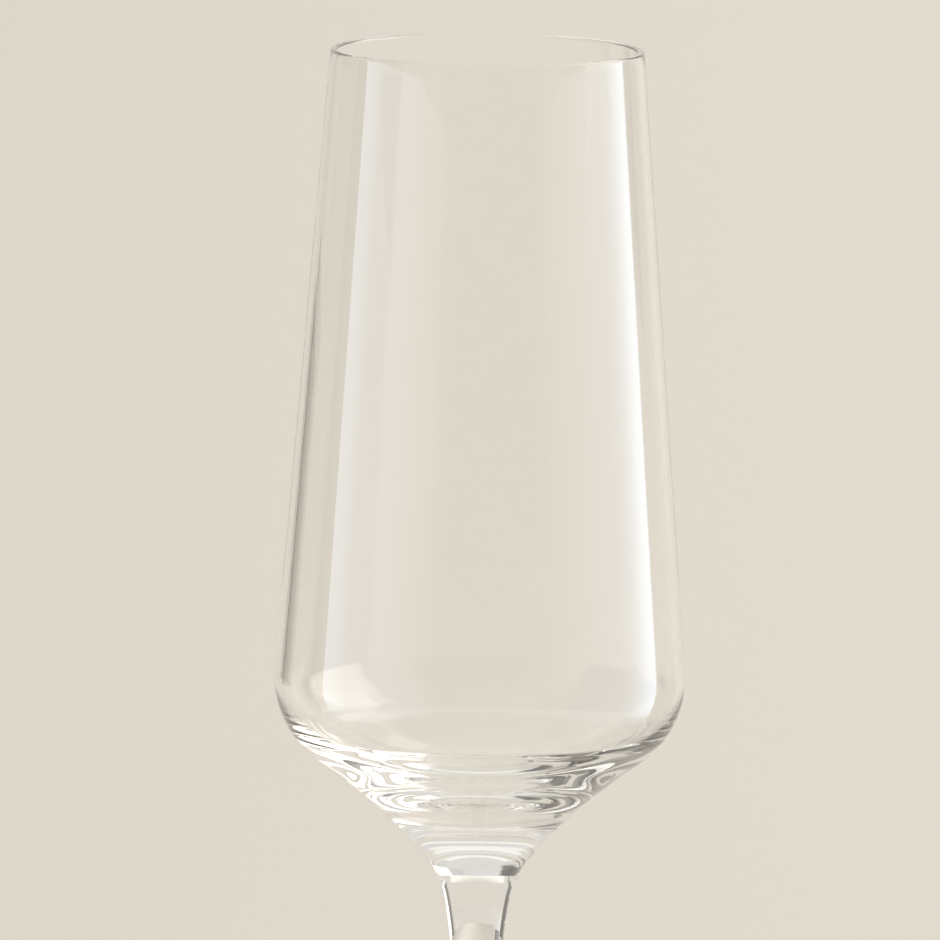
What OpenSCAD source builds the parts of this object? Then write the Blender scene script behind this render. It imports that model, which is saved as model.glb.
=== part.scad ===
// Champagne flute in clear glass: a blown bowl, a drawn stem and a pressed foot, fused end to end.
// Millimetres, +Z up. The origin is the centre of the resting plane under the foot.
// Every piece is a body of revolution about Z, drawn as a section in (radius, height).

/* [Overall] */
// Height from the resting plane to the top of the rim
total_h = 235; // [230:1:245]

/* [Bowl, outside] */
// Height of the bowl, from its joint with the stem to the top of the rim
bowl_h = 132; // [122:1:142]
// Outside diameter at the rim
rim_d = 50.4; // [47:0.2:54]
// Outside diameter at the widest point
belly_d = 66.2; // [62.2:0.2:70.2]
// Height of the widest point above the joint
belly_h = 30.5; // [28:0.5:34]
// Radius of the shoulder curve in section
shoulder_r = 16.6; // [15:0.1:18]
// Steepness of the underside where it leaves the shoulder, in degrees from vertical
underside_angle = 55; // [52:0.5:58]
// Steepness of the underside where it meets the stem, in degrees from vertical
flare_angle = 37; // [32:1:42]

/* [Bowl, inside] */
// Wall thickness at the rim
rim_wall = 1.1; // [0.9:0.1:1.5]
// Wall thickness at the widest point
belly_wall = 1.4; // [1.2:0.1:1.8]
// Radius of the inside shoulder curve in section
inner_shoulder_r = 12.5; // [11.8:0.1:13.2]
// How much lower the inside shoulder curve sits than the outside one
inner_drop = 0.3; // [0:0.1:0.8]
// Steepness of the inside where its shoulder ends, in degrees from vertical
heel_angle = 40; // [36:1:44]
// Radius of the tight curve that turns from the shoulder into the floor
heel_r = 2.4; // [1.8:0.1:3]
// Steepness of the floor where it leaves that curve, in degrees from vertical
floor_angle = 69.5; // [66:0.5:73]
// Thickness of solid glass between the middle of the floor and the joint
floor_h = 12; // [10.5:0.5:13]

/* [Stem] */
// Diameter of the joint between bowl and stem
joint_d = 15.2; // [14:0.2:16]
// Height of the fused band just below the joint
band_h = 2.4; // [1.8:0.1:3]
// Diameter at the lower edge of the fused band
neck_d = 13; // [12:0.1:13.6]
// Steepness of the neck below the band, in degrees from vertical
neck_angle = 18; // [14:1:22]
// Diameter of the stem at its thinnest
stem_d = 6.8; // [6:0.1:8]
// Distance below the joint where the neck has run out
neck_h = 40; // [34:1:42]

/* [Foot] */
// Diameter of the foot
foot_d = 68; // [62:1:74]
// Thickness of the foot at its edge
edge_h = 1.7; // [1.4:0.1:2.2]
// Diameter where the gentle top slope ends and the rise to the stem begins
rise_d = 32; // [26:1:38]
// Height of the top surface at that diameter
rise_h = 4.4; // [3.8:0.1:5]
// Height of the joint between stem and foot
foot_joint_h = 9; // [8:0.5:11]
// Diameter of the joint between stem and foot
foot_joint_d = 10.4; // [9.4:0.2:11.4]
// Steepness of the glass at that joint, in degrees from vertical
foot_joint_angle = 34; // [28:1:40]
// Height of the hollow under the foot, at its centre
hollow_h = 1.4; // [0.8:0.1:2]
// Width of the flat ring that the foot stands on
ring_w = 2; // [1.5:0.1:3]

/* [Hidden] */
$fn = 96;

clear_glass = [0.93, 0.95, 0.94, 0.45];

joint_r = joint_d / 2;
joint_z = total_h - bowl_h;
rim_bead_r = rim_wall / 2;
rim_centre = [rim_d / 2 - rim_bead_r, total_h - rim_bead_r];
shoulder_centre = [belly_d / 2 - shoulder_r, joint_z + belly_h];
inner_centre = [
    belly_d / 2 - belly_wall - inner_shoulder_r,
    joint_z + belly_h - inner_drop
];
floor_centre = [0, joint_z + floor_h];
// Reach of the curve that dishes the floor, at its edge and at its flat middle
floor_edge_reach = 11.8;
floor_middle_reach = 17.6;

shaft_r = stem_d / 2;
// How far the fused band bulges beyond the straight line between its edges, and how high up
band_bulge = 0.4;
band_bulge_h = 1;
// Reach of the curves that blend the shaft into the neck and into the foot
neck_blend = 30;
base_blend = 18;
base_blend_h = 34;
joint_blend = 5;

edge_r = edge_h / 2;
ring_outer_r = foot_d / 2 - edge_r;
ring_inner_r = ring_outer_r - ring_w;
// Reach of the curve that blends the foot's top into the stem
rise_reach = 5;
joint_reach = 3;

// Unit vector that points upwards and outwards, at an angle from vertical
function slant(angle) = [sin(angle), cos(angle)];

// Points of an arc about centre c, from one angle to another
function arc(c, r, from, to, steps) =
    [for (i = [0:steps])
        let (a = from + (to - from) * i / steps)
        c + r * [cos(a), sin(a)]];

// Points of the curve from p to q that is pulled towards one point
function bend(p, pull, q, steps) =
    [for (i = [0:steps])
        let (t = i / steps)
        (1 - t) ^ 2 * p + 2 * t * (1 - t) * pull + t ^ 2 * q];

// Points of the curve from p to q that is pulled towards two points in turn
function blend(p, pull_p, pull_q, q, steps) =
    [for (i = [0:steps])
        let (t = i / steps)
        (1 - t) ^ 3 * p + 3 * t * (1 - t) ^ 2 * pull_p
            + 3 * t ^ 2 * (1 - t) * pull_q + t ^ 3 * q];

// Where a line through p meets a line through q, each at its own angle from vertical
function crossing(p, p_angle, q, q_angle) =
    let (u = slant(p_angle), v = slant(q_angle), gap = q - p)
    p + u * (gap.x * v.y - gap.y * v.x) / (u.x * v.y - u.y * v.x);

// Angle at which a straight wall leaves the curve about centre c, on its way to the rim, when
// the wall stands reach further from c than it does from the middle of the rim's bead
function wall_angle(c, reach) =
    let (run = rim_centre - c)
    atan2(run.y, run.x) - acos(reach / norm(run));

// Underside, shoulder and straight wall, from the joint up to the rim
function bowl_outside() =
    let (
        joint = [joint_r, joint_z],
        shoulder = shoulder_centre + shoulder_r * [cos(underside_angle), -sin(underside_angle)],
        pull = crossing(joint, flare_angle, shoulder, underside_angle)
    )
    concat(
        bend(joint, pull, shoulder, 14),
        arc(shoulder_centre, shoulder_r, -underside_angle, outer_wall_angle, 20)
    );

// Straight wall, shoulder, heel and floor, from the rim down to the middle
function bowl_inside() =
    let (
        heel_centre = inner_centre
            + (inner_shoulder_r - heel_r) * [cos(heel_angle), -sin(heel_angle)],
        floor_edge = heel_centre + heel_r * [cos(floor_angle), -sin(floor_angle)]
    )
    concat(
        arc(inner_centre, inner_shoulder_r, inner_wall_angle, -heel_angle, 20),
        arc(heel_centre, heel_r, -heel_angle, -floor_angle, 4),
        blend(floor_edge, floor_edge - floor_edge_reach * slant(floor_angle),
            floor_centre + [floor_middle_reach, 0], floor_centre, 32)
    );

outer_wall_angle = wall_angle(shoulder_centre, shoulder_r - rim_bead_r);
inner_wall_angle = wall_angle(inner_centre, inner_shoulder_r + rim_bead_r);

// Bowl: flared solid underside, round shoulder, tapering wall, rounded rim and open inside
module bowl() {
    color(clear_glass)
    rotate_extrude()
    polygon(concat(
        [[0, joint_z]],
        bowl_outside(),
        arc(rim_centre, rim_bead_r, outer_wall_angle, inner_wall_angle + 180, 16),
        bowl_inside()
    ));
}

// Stem: fused band under the bowl, neck, slim shaft, and the flare that meets the foot
module stem() {
    band_top = [joint_r, joint_z];
    band_base = [neck_d / 2, joint_z - band_h];
    shaft_top = [shaft_r, joint_z - neck_h];
    shaft_base = [shaft_r, foot_joint_h + base_blend_h];
    base = [foot_joint_d / 2, foot_joint_h];
    color(clear_glass)
    rotate_extrude()
    polygon(concat(
        [[0, joint_z]],
        bend(band_top, band_base + [band_bulge, band_bulge_h], band_base, 5),
        blend(band_base, band_base - joint_blend * slant(neck_angle),
            shaft_top + [0, neck_blend], shaft_top, 24),
        blend(shaft_base, shaft_base - [0, base_blend],
            base + joint_blend * slant(-foot_joint_angle), base, 20),
        [[0, foot_joint_h]]
    ));
}

// Foot: rise from the stem, gently sloping top, rounded edge, resting ring and hollow underside
module foot() {
    joint = [foot_joint_d / 2, foot_joint_h];
    rise = [rise_d / 2, rise_h];
    top_slope = atan2(rise_h - edge_h, ring_outer_r - rise.x);
    edge_centre = [ring_outer_r, edge_r];
    hollow_centre = [0, hollow_h];
    color(clear_glass)
    rotate_extrude()
    polygon(concat(
        [[0, foot_joint_h]],
        blend(joint, joint - joint_reach * slant(-foot_joint_angle),
            rise + rise_reach * [-cos(top_slope), sin(top_slope)], rise, 14),
        arc(edge_centre, edge_r, 90 - top_slope, -90, 16),
        bend([ring_inner_r, 0], [ring_inner_r / 2, hollow_h], hollow_centre, 12)
    ));
}

bowl();
stem();
foot();
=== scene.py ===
"""Champagne flute in clear glass, on a pale floor in soft studio light. Metres, in the CAD model's frame."""
import math

import bpy
import numpy as np
from mathutils import Matrix, Vector


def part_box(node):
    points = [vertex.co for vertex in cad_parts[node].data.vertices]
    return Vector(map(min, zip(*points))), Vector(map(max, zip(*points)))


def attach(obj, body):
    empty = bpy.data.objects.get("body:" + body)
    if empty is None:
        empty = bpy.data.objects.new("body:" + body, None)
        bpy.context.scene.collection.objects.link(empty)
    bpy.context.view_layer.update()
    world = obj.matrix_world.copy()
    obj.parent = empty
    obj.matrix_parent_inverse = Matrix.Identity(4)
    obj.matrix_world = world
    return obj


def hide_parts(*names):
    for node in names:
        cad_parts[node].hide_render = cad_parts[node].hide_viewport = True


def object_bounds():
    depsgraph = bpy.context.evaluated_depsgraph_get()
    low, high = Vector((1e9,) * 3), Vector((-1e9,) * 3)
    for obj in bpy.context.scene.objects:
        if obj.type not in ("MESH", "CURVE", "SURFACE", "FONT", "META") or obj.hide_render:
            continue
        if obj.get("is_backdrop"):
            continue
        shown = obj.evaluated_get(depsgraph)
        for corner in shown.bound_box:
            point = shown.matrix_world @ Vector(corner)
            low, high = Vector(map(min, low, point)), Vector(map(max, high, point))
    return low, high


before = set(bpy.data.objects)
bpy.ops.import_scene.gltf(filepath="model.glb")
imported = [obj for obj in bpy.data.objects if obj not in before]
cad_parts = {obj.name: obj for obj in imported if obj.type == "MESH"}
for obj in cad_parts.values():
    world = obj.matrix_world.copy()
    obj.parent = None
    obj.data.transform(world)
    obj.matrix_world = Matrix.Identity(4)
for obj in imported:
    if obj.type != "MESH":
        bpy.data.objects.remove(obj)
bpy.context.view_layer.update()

UP = Vector((0, 0, 1))

# Lathe work
AROUND = 256                # steps round the axis
FINE_STEPS = 4              # steps in each stretch of a section between two CAD points
SAME_POINT = 2e-6           # CAD points closer than this are one point
CORNER = math.radians(14)   # a sharper turn than this in a section is a true corner
SHARP_EDGE = 2 * CORNER     # faces that meet at more than this are shaded with an edge between them
LONG_STRETCH = 4.5          # a stretch this many times longer than its neighbour is straight

# Joints where two pieces are fused, by the height that they share
BOWL_JOINT_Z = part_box("bowl")[0].z
FOOT_JOINT_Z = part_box("foot")[1].z

# Clear glass: noise scales per metre, and depths in metres
GLASS_IOR = 1.51
CLEAREST_GLASS = (0.999, 0.999, 0.997, 1)
GREENEST_GLASS = (0.995, 0.998, 0.994, 1)
STREAK_SCALE = 18
STREAK_DETAIL = 2
WAVE_SCALE = 45
WAVE_DETAIL = 0
WAVE_DEPTH = 4e-6
RING_SCALE = 260
RING_DETAIL = 1
RING_DEPTH = 4e-7
RING_SQUASH = (0.05, 0.05, 1)   # makes draw marks much longer round the piece than they are high

CARD_COLOR = (0.22, 0.21, 0.19, 1)
PAPER_COLOR = (0.745, 0.707, 0.652, 1)

# Floor
FLOOR_R = 6.5
FLOOR_FLAT_R = 3.25         # the floor is flat out to here
FLOOR_EDGE_H = 0.25         # height of its far edge
FLOOR_GAP = 0.0002          # keeps its surface just clear of the glass that stands on it
FLOOR_RINGS = 24
FLOOR_SIDES = 96

# Surroundings. Here and below, azimuths run from the camera's side, positive to its right, in degrees
WALL_RADIANCE = 0.68
WINDOW_BLUR = 6.0           # softness of a window's edges, in degrees
WORLD_WINDOWS = [           # azimuths, elevations, and the radiance there
    ((76, 124), (20, 52), 2.6),         # large window on the right
    ((76, 124), (2, 20), 2.3),          # its lower part
    ((-134, -66), (-2, 60), 0.08),      # dark side on the left
    ((126, 137), (-2, 24), 0.2),        # dark edge beside the large window
    ((-30, 40), (-30, 30), 0.5),        # dimmer room behind the camera
    ((-190, -146), (22, 50), 1.05),     # brighter wall behind the glass, in two halves
    ((146, 190), (22, 50), 1.05),
    ((-190, 190), (50, 100), 0.72),     # ceiling
]
LOW_HUE = (1.07, 1.0, 0.89, 1)      # warm, like the floor
HIGH_HUE = (1.02, 1.0, 0.95, 1)
HUE_CHANGE = (15, 35)               # elevations between which the low hue turns into the high one

# Dark cards: azimuths, distance from the glass, and height
BACK_FLAG = ((-149, -134), 1.1, 0.12)
SIDE_FLAG = ((-112, -101), 1.1, 0.5)

# Light panels: what they share, then each one's radiance at a row of azimuths
PANEL_COLOR = (0.91, 1.09, 1.34)
PANEL_Z = (-0.3, 0.26)
PANEL_FADE = 0.4            # share of a panel's height over which it fades out at its lower edge
PANEL_DISTANCE = 0.9        # from the glass to the ends of each panel
RIGHT_PANEL = [
    (40, 0.0), (52, 0.45), (60, 0.6), (84, 1.0), (94, 1.7), (100, 2.5), (108, 3.5), (115, 3.6), (117, 0.0)
]
LEFT_PANEL = [(-97, 2.2), (-88, 2.1), (-80, 1.3), (-62, 1.2), (-40, 0.6), (-20, 0.0)]

# Long lamp over the right of the floor
FLOOR_LAMP_SPAN = (0.3, 1.9)    # its edges, to the right of the glass
FLOOR_LAMP_LENGTH = 16.0
FLOOR_LAMP_BACK = 2.5           # its middle, behind the glass
FLOOR_LAMP_Z = 1.3
FLOOR_LAMP_RADIANCE = 0.65

# Camera: its sensor in millimetres, its angles in degrees
SENSOR_WIDTH = 36
CAMERA_DISTANCE = 3.0       # from the middle of the rim
CAMERA_ELEVATION = 5.8
CAMERA_ROLL = 0.70
VIEW_WIDTH = 0.1508         # width of the picture at the glass
AIM_X = -0.00198
AIM_BELOW_RIM = 0.0681
CLIP_END = 30

GLASS_BOUNCES = 160         # enough for the light that is caught in the thick base
FLOOR_BOUNCES = 4
JOINT_BOUNCES = 16          # clear faces of fused joints that one ray may pass


# ---------------------------------------------------------------- shapes

def put_mesh(name, verts, faces):
    """A new mesh object in the scene."""
    mesh = bpy.data.meshes.new(name)
    mesh.from_pydata(verts, [], faces)
    made = bpy.data.objects.new(name, mesh)
    bpy.context.scene.collection.objects.link(made)
    return made


def section_points(mesh):
    """Points of a turned mesh's section in (radius, height), and which of them each of its vertices is."""
    points, point_of = [], {}
    for vertex in mesh.vertices:
        x, y, z = vertex.co
        if abs(y) > SAME_POINT or x < -SAME_POINT:
            continue
        here = np.array([x, z])
        same = [i for i, point in enumerate(points) if abs(point - here).max() < SAME_POINT]
        if not same:
            points.append(here)
            same = [len(points) - 1]
        point_of[vertex.index] = same[0]
    return points, point_of


def cad_section(node):
    """Outline of a turned CAD node in (radius, height), from its lower end on the axis to its upper end."""
    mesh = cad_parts[node].data
    points, point_of = section_points(mesh)
    neighbours = {i: set() for i in range(len(points))}
    for edge in mesh.edges:
        a, b = (point_of.get(v) for v in edge.vertices)
        if None not in (a, b) and a != b:
            neighbours[a].add(b)
            neighbours[b].add(a)
    ends = [i for i in neighbours if len(neighbours[i]) == 1]
    path = [min(ends, key=lambda i: points[i][1])]
    while neighbours[path[-1]] - set(path):
        path.append((neighbours[path[-1]] - set(path)).pop())
    outline = [points[i] for i in path]
    if outline[0][0] > SAME_POINT:
        outline.insert(0, np.array([0.0, outline[0][1]]))
    if outline[-1][0] > SAME_POINT:
        outline.append(np.array([0.0, outline[-1][1]]))
    return np.array(outline)


def circle_tangent(before, here, after):
    """Direction at the middle one of three points on the circle through them."""
    a, b = here - before, after - here
    la, lb = np.linalg.norm(a), np.linalg.norm(b)
    tangent = a / la * lb + b / lb * la
    return tangent / np.linalg.norm(tangent)


def tangents(points):
    """Directions in which the section arrives at and leaves each point."""
    count = len(points)
    steps = np.diff(points, axis=0)
    lengths = np.linalg.norm(steps, axis=1)
    heads = steps / lengths[:, None]
    arrive, leave = [None] * count, [None] * count
    for i in range(1, count - 1):
        bend = math.acos(max(-1.0, min(1.0, float(heads[i - 1] @ heads[i]))))
        if bend > CORNER:
            continue
        if lengths[i - 1] > LONG_STRETCH * lengths[i]:
            shared = heads[i - 1]
        elif lengths[i] > LONG_STRETCH * lengths[i - 1]:
            shared = heads[i]
        else:
            shared = circle_tangent(points[i - 1], points[i], points[i + 1])
        arrive[i] = leave[i] = shared
    # a stretch that meets a corner is an arc, set by its smooth end, or straight where it has none
    for i in range(count - 1):
        head = heads[i]
        if leave[i] is None:
            far = arrive[i + 1]
            leave[i] = head if far is None else 2 * (far @ head) * head - far
        if arrive[i + 1] is None:
            near = leave[i]
            arrive[i + 1] = 2 * (near @ head) * head - near
    return arrive, leave


def fine_section(points):
    """The same section with each stretch between two rings drawn as a smooth curve."""
    arrive, leave = tangents(points)
    fine = [points[0]]
    for i in range(len(points) - 1):
        start, end = points[i], points[i + 1]
        length = np.linalg.norm(end - start)
        for k in range(1, FINE_STEPS + 1):
            t = k / FINE_STEPS
            fine.append(
                (2 * t**3 - 3 * t**2 + 1) * start
                + (t**3 - 2 * t**2 + t) * length * leave[i]
                + (3 * t**2 - 2 * t**3) * end
                + (t**3 - t**2) * length * arrive[i + 1]
            )
    fine = np.array(fine)
    # no curve reaches below the piece's own lowest point, so the foot stands on the floor
    fine[:, 1] = np.maximum(fine[:, 1], points[:, 1].min())
    return fine


def turned_faces(rows):
    """Faces between rings of vertices. A row of one vertex is a point on the axis."""
    faces = []
    for low, high in zip(rows, rows[1:]):
        for k in range(AROUND):
            after = (k + 1) % AROUND
            if len(low) == 1:
                faces.append((low[0], high[after], high[k]))
            elif len(high) == 1:
                faces.append((low[k], low[after], high[0]))
            else:
                faces.append((low[k], low[after], high[after], high[k]))
    return faces


def turn(name, section, fused_at):
    """A closed solid of revolution. Faces on the planes fused_at take the second material."""
    verts, rows = [], []
    angles = [2 * math.pi * k / AROUND for k in range(AROUND)]
    for radius, height in section:
        if radius < SAME_POINT:
            rows.append([len(verts)])
            verts.append((0.0, 0.0, height))
        else:
            rows.append(list(range(len(verts), len(verts) + AROUND)))
            verts.extend((radius * math.cos(a), radius * math.sin(a), height) for a in angles)
    piece = put_mesh(name, verts, turned_faces(rows))
    mesh = piece.data
    mesh.validate()
    mesh.update()
    for face in mesh.polygons:
        heights = [mesh.vertices[v].co.z for v in face.vertices]
        on_joint = any(max(abs(h - z) for h in heights) < SAME_POINT for z in fused_at)
        face.material_index = 1 if on_joint else 0
    mesh.shade_smooth()
    mesh.set_sharp_from_angle(angle=SHARP_EDGE)
    return piece


def glass_piece(node, fused_at, materials):
    """The finely turned piece that stands for one CAD node."""
    piece = turn(f"{node}_glass", fine_section(cad_section(node)), fused_at)
    for material in materials:
        piece.data.materials.append(material)
    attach(piece, "root")
    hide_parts(node)


# ---------------------------------------------------------------- node trees

class Writer:
    """Adds nodes to a node tree. All its methods but put and axes return the socket with their result."""

    def __init__(self, tree):
        self.nodes = tree.nodes
        self.links = tree.links

    def put(self, value, socket):
        """Feeds a socket from another socket, or gives it a constant."""
        if isinstance(value, bpy.types.NodeSocket):
            self.links.new(value, socket)
        else:
            socket.default_value = value

    def axes(self, vector):
        """The sockets of a vector's three components."""
        node = self.nodes.new("ShaderNodeSeparateXYZ")
        self.put(vector, node.inputs["Vector"])
        return node.outputs

    def math(self, operation, *values):
        node = self.nodes.new("ShaderNodeMath")
        node.operation = operation
        for socket, value in zip(node.inputs, values):
            self.put(value, socket)
        return node.outputs["Value"]

    def step(self, value, start, end):
        """0 below start and 1 above end, with a soft change between them."""
        node = self.nodes.new("ShaderNodeMapRange")
        node.interpolation_type = "SMOOTHSTEP"
        self.put(value, node.inputs["Value"])
        self.put(start, node.inputs["From Min"])
        self.put(end, node.inputs["From Max"])
        return node.outputs["Result"]

    def window(self, value, low, high):
        """1 between low and high and 0 outside, with soft edges."""
        half = WINDOW_BLUR / 2
        opens = self.step(value, low - half, low + half)
        shuts = self.step(value, high - half, high + half)
        return self.math("SUBTRACT", opens, shuts)

    def mix(self, factor, a, b):
        """A colour between a and b."""
        node = self.nodes.new("ShaderNodeMix")
        node.data_type = "RGBA"
        self.put(factor, node.inputs["Factor"])
        self.put(a, node.inputs["A"])
        self.put(b, node.inputs["B"])
        return node.outputs["Result"]

    def noise(self, vector, scale, detail):
        node = self.nodes.new("ShaderNodeTexNoise")
        self.put(vector, node.inputs["Vector"])
        self.put(scale, node.inputs["Scale"])
        self.put(detail, node.inputs["Detail"])
        return node.outputs["Fac"]

    def bump(self, height, depth, normal=None):
        """The normal of a surface that rises by depth where height is 1."""
        node = self.nodes.new("ShaderNodeBump")
        self.put(height, node.inputs["Height"])
        self.put(depth, node.inputs["Distance"])
        if normal is not None:
            self.put(normal, node.inputs["Normal"])
        return node.outputs["Normal"]


# ---------------------------------------------------------------- materials

def plain_material(name, settings):
    """A material whose shader has the constants given."""
    material = bpy.data.materials.new(name)
    material.use_nodes = True
    shader = material.node_tree.nodes["Principled BSDF"]
    for socket, value in settings.items():
        shader.inputs[socket].default_value = value
    return material


def clear_glass():
    """Fire-polished clear glass, with faint draw marks that run round it and a trace of slow waviness."""
    material = plain_material("clear_glass", {
        "Roughness": 0.0,
        "IOR": GLASS_IOR,
        "Transmission Weight": 1.0,
    })
    tree = Writer(material.node_tree)
    shader = tree.nodes["Principled BSDF"]
    place = tree.nodes.new("ShaderNodeTexCoord").outputs["Object"]
    # thick drawn glass is a little greener in some streaks than in others
    streaks = tree.noise(place, STREAK_SCALE, STREAK_DETAIL)
    tree.put(tree.mix(streaks, CLEAREST_GLASS, GREENEST_GLASS), shader.inputs["Base Color"])
    # slow waviness of the blown wall
    wavy = tree.bump(tree.noise(place, WAVE_SCALE, WAVE_DETAIL), WAVE_DEPTH)
    # draw marks: fine rings round the piece
    squash = tree.nodes.new("ShaderNodeMapping")
    tree.put(place, squash.inputs["Vector"])
    tree.put(RING_SQUASH, squash.inputs["Scale"])
    rings = tree.noise(squash.outputs["Vector"], RING_SCALE, RING_DETAIL)
    tree.put(tree.bump(rings, RING_DEPTH, wavy), shader.inputs["Normal"])
    return material


def fused_joint():
    """The face inside a joint, where two pieces of glass are melted into one and nothing shows."""
    return plain_material("fused_joint", {"Alpha": 0.0})


def matt(name, color):
    """A matt surface without any shine."""
    return plain_material(name, {"Base Color": color, "Roughness": 1.0, "Specular IOR Level": 0.0})


# ---------------------------------------------------------------- stage

def towards(azimuth, distance):
    """A point at floor level, at an azimuth and a distance from the glass."""
    a = math.radians(azimuth)
    return Vector((math.sin(a), -math.cos(a), 0)) * distance


def floor_verts():
    """The floor's middle, then its rings from the inside out."""
    verts = [(0, 0, -FLOOR_GAP)]
    for i in range(1, FLOOR_RINGS + 1):
        radius = FLOOR_R * i / FLOOR_RINGS
        rise = max(0, (radius - FLOOR_FLAT_R) / (FLOOR_R - FLOOR_FLAT_R))
        height = Vector((0, 0, FLOOR_EDGE_H * rise**2 - FLOOR_GAP))
        verts.extend(towards(360 * k / FLOOR_SIDES, radius) + height for k in range(FLOOR_SIDES))
    return verts


def floor_faces():
    """A fan round the floor's middle, and bands between its rings."""
    faces = []
    for k in range(FLOOR_SIDES):
        after = (k + 1) % FLOOR_SIDES
        faces.append((0, 1 + k, 1 + after))
        for i in range(1, FLOOR_RINGS):
            low, high = 1 + (i - 1) * FLOOR_SIDES, 1 + i * FLOOR_SIDES
            faces.append((low + k, high + k, high + after, low + after))
    return faces


def make_floor():
    """A wide round floor that curves up towards its far edge, so that no view looks past it."""
    floor = put_mesh("floor", floor_verts(), floor_faces())
    floor.data.shade_smooth()
    floor.data.materials.append(matt("backdrop_paper", PAPER_COLOR))
    # glints look past it, down to the panels' lower ends, so their strips run on round the shoulder
    floor.visible_glossy = False
    floor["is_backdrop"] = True


def flag(name, azimuths, distance, height, material):
    """A dark card that stands on the floor. Only the glass shows it, and it casts no shadow."""
    start, end = (towards(azimuth, distance) for azimuth in azimuths)
    card = put_mesh(name, [start, end, end + UP * height, start + UP * height], [(0, 1, 2, 3)])
    card.data.materials.append(material)
    card.visible_camera = False
    card.visible_diffuse = False
    card.visible_shadow = False
    card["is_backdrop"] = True


def make_flags():
    """Cards on the left, for the dark line down the left wall and the grey band beside it."""
    material = matt("dark_card", CARD_COLOR)
    flag("back_flag", *BACK_FLAG, material)
    flag("side_flag", *SIDE_FLAG, material)


# ---------------------------------------------------------------- light

def make_world():
    """The studio round the glass: even walls, with brighter and darker windows in them."""
    world = bpy.data.worlds.new("studio")
    world.use_nodes = True
    tree = Writer(world.node_tree)
    x, y, z = tree.axes(tree.nodes.new("ShaderNodeTexCoord").outputs["Generated"])
    azimuth = tree.math("DEGREES", tree.math("ARCTAN2", x, tree.math("MULTIPLY", y, -1.0)))
    elevation = tree.math("DEGREES", tree.math("ARCSINE", z))
    level = WALL_RADIANCE
    for azimuths, elevations, radiance in WORLD_WINDOWS:
        across = tree.window(azimuth, *azimuths)
        up = tree.window(elevation, *elevations)
        change = tree.math("MULTIPLY", tree.math("MULTIPLY", across, up), radiance - WALL_RADIANCE)
        level = tree.math("ADD", level, change)
    background = tree.nodes["Background"]
    tree.put(level, background.inputs["Strength"])
    hue = tree.mix(tree.step(elevation, *HUE_CHANGE), LOW_HUE, HIGH_HUE)
    tree.put(hue, background.inputs["Color"])
    bpy.context.scene.world = world


def lamp(name, width, height, radiance):
    """A rectangular area light. Its power is its radiance times pi times its area."""
    data = bpy.data.lights.new(name, "AREA")
    data.shape = "RECTANGLE"
    data.size, data.size_y = width, height
    data.energy = radiance * math.pi * data.size * data.size_y
    light = bpy.data.objects.new(name, data)
    bpy.context.scene.collection.objects.link(light)
    return light


def shade_panel(data, radiance, peak):
    """Makes a panel's strength follow its radiance across it, and fade out at its lower edge."""
    start, end = radiance[0][0], radiance[-1][0]
    half = math.radians(end - start) / 2
    data.use_nodes = True
    tree = Writer(data.node_tree)
    x, y, _ = tree.axes(tree.nodes.new("ShaderNodeNewGeometry").outputs["Parametric"])
    curve = tree.nodes.new("ShaderNodeValToRGB")
    while len(curve.color_ramp.elements) < len(radiance):
        curve.color_ramp.elements.new(0.5)
    for element, (azimuth, level) in zip(curve.color_ramp.elements, radiance):
        across = math.tan(math.radians(azimuth - (start + end) / 2)) / math.tan(half)
        element.position = 0.5 + across / 2
        element.color = (level / peak, level / peak, level / peak, 1)
    tree.put(x, curve.inputs["Fac"])
    strength = tree.math("MULTIPLY", curve.outputs["Color"], tree.step(y, 0, PANEL_FADE))
    tree.put(strength, tree.nodes["Emission"].inputs["Strength"])


def panel(name, radiance):
    """An upright light panel between the first and the last azimuth given. Only glints show it."""
    left, right = (towards(azimuth, PANEL_DISTANCE) for azimuth, _ in (radiance[0], radiance[-1]))
    low, high = PANEL_Z
    peak = max(level for _, level in radiance)
    light = lamp(name, (right - left).length, high - low, peak)
    light.data.color = PANEL_COLOR
    shade_panel(light.data, radiance, peak)
    # its own X runs across it with the azimuth, and it shines along its own -Z
    outward = (left + right).normalized()
    light.matrix_world = Matrix((UP.cross(outward), UP, outward)).transposed().to_4x4()
    light.location = (left + right) / 2 + UP * (low + high) / 2
    light.visible_camera = False
    light.visible_diffuse = False
    light.visible_transmission = False


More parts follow.
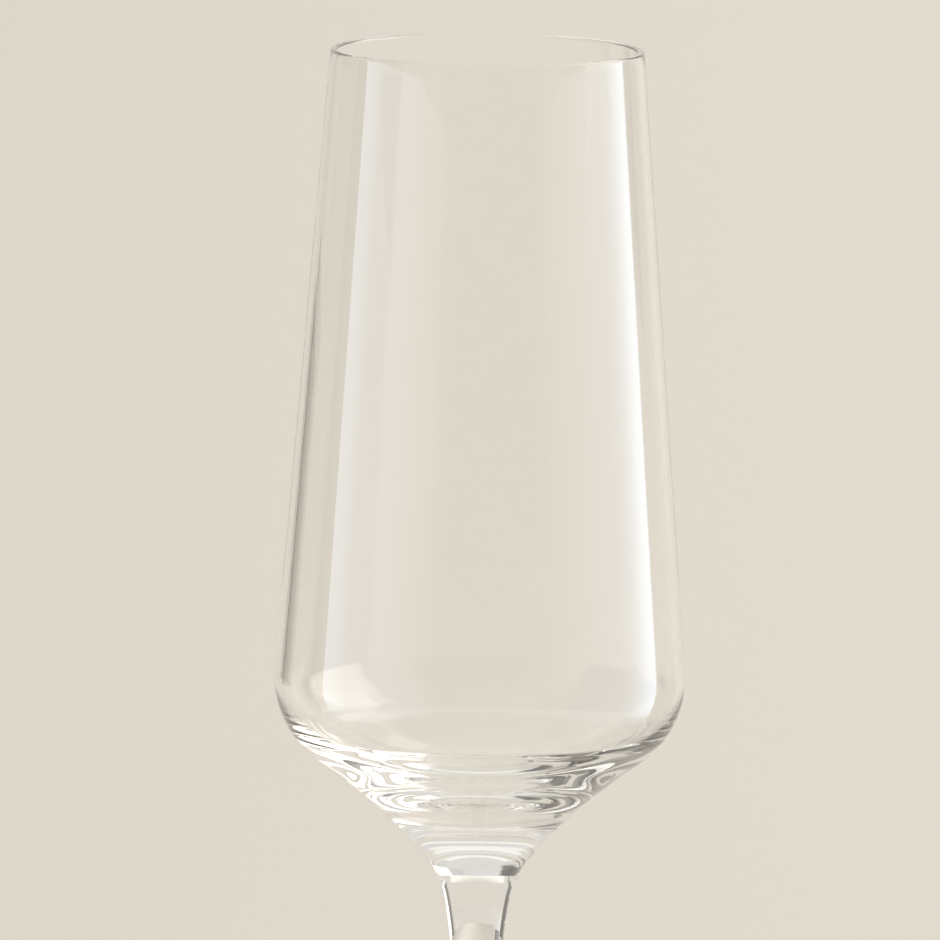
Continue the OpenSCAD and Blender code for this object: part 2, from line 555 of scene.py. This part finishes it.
def floor_lamp():
    """A long soft lamp over the right of the floor, which only lifts the floor: no glass shows it."""
    left, right = FLOOR_LAMP_SPAN
    light = lamp("floor_lamp", right - left, FLOOR_LAMP_LENGTH, FLOOR_LAMP_RADIANCE)
    light.location = ((left + right) / 2, FLOOR_LAMP_BACK, FLOOR_LAMP_Z)
    light.visible_camera = False
    light.visible_glossy = False
    light.visible_transmission = False


# ---------------------------------------------------------------- camera

def make_camera():
    """The photograph's angle: a long lens, a little above the rim, close on the bowl."""
    rim_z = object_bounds()[1].z
    rim = Vector((0, 0, rim_z))
    aim = Vector((AIM_X, 0, rim_z - AIM_BELOW_RIM))
    elevation = math.radians(CAMERA_ELEVATION)
    data = bpy.data.cameras.new("camera")
    data.sensor_width = SENSOR_WIDTH
    data.lens = data.sensor_width * CAMERA_DISTANCE / VIEW_WIDTH
    data.clip_end = CLIP_END
    camera = bpy.data.objects.new("camera", data)
    camera.location = rim + CAMERA_DISTANCE * Vector((0, -math.cos(elevation), math.sin(elevation)))
    camera.rotation_mode = "QUATERNION"
    look = (aim - camera.location).to_track_quat("-Z", "Y")
    roll = Matrix.Rotation(math.radians(CAMERA_ROLL), 4, "Z").to_quaternion()
    camera.rotation_quaternion = look @ roll
    bpy.context.scene.collection.objects.link(camera)
    bpy.context.scene.camera = camera


def set_rendering():
    """Plain colours, and light paths long enough for thick glass."""
    scene = bpy.context.scene
    scene.view_settings.view_transform = "Standard"
    scene.cycles.max_bounces = GLASS_BOUNCES
    scene.cycles.transmission_bounces = GLASS_BOUNCES
    scene.cycles.glossy_bounces = GLASS_BOUNCES
    scene.cycles.diffuse_bounces = FLOOR_BOUNCES
    scene.cycles.transparent_max_bounces = JOINT_BOUNCES
    scene.cycles.blur_glossy = 0.0
    scene.cycles.use_denoising = True


glass = [clear_glass(), fused_joint()]
glass_piece("bowl", [BOWL_JOINT_Z], glass)
glass_piece("stem", [BOWL_JOINT_Z, FOOT_JOINT_Z], glass)
glass_piece("foot", [FOOT_JOINT_Z], glass)
make_floor()
make_flags()
make_world()
floor_lamp()
panel("right_panel", RIGHT_PANEL)
panel("left_panel", LEFT_PANEL)
make_camera()
set_rendering()
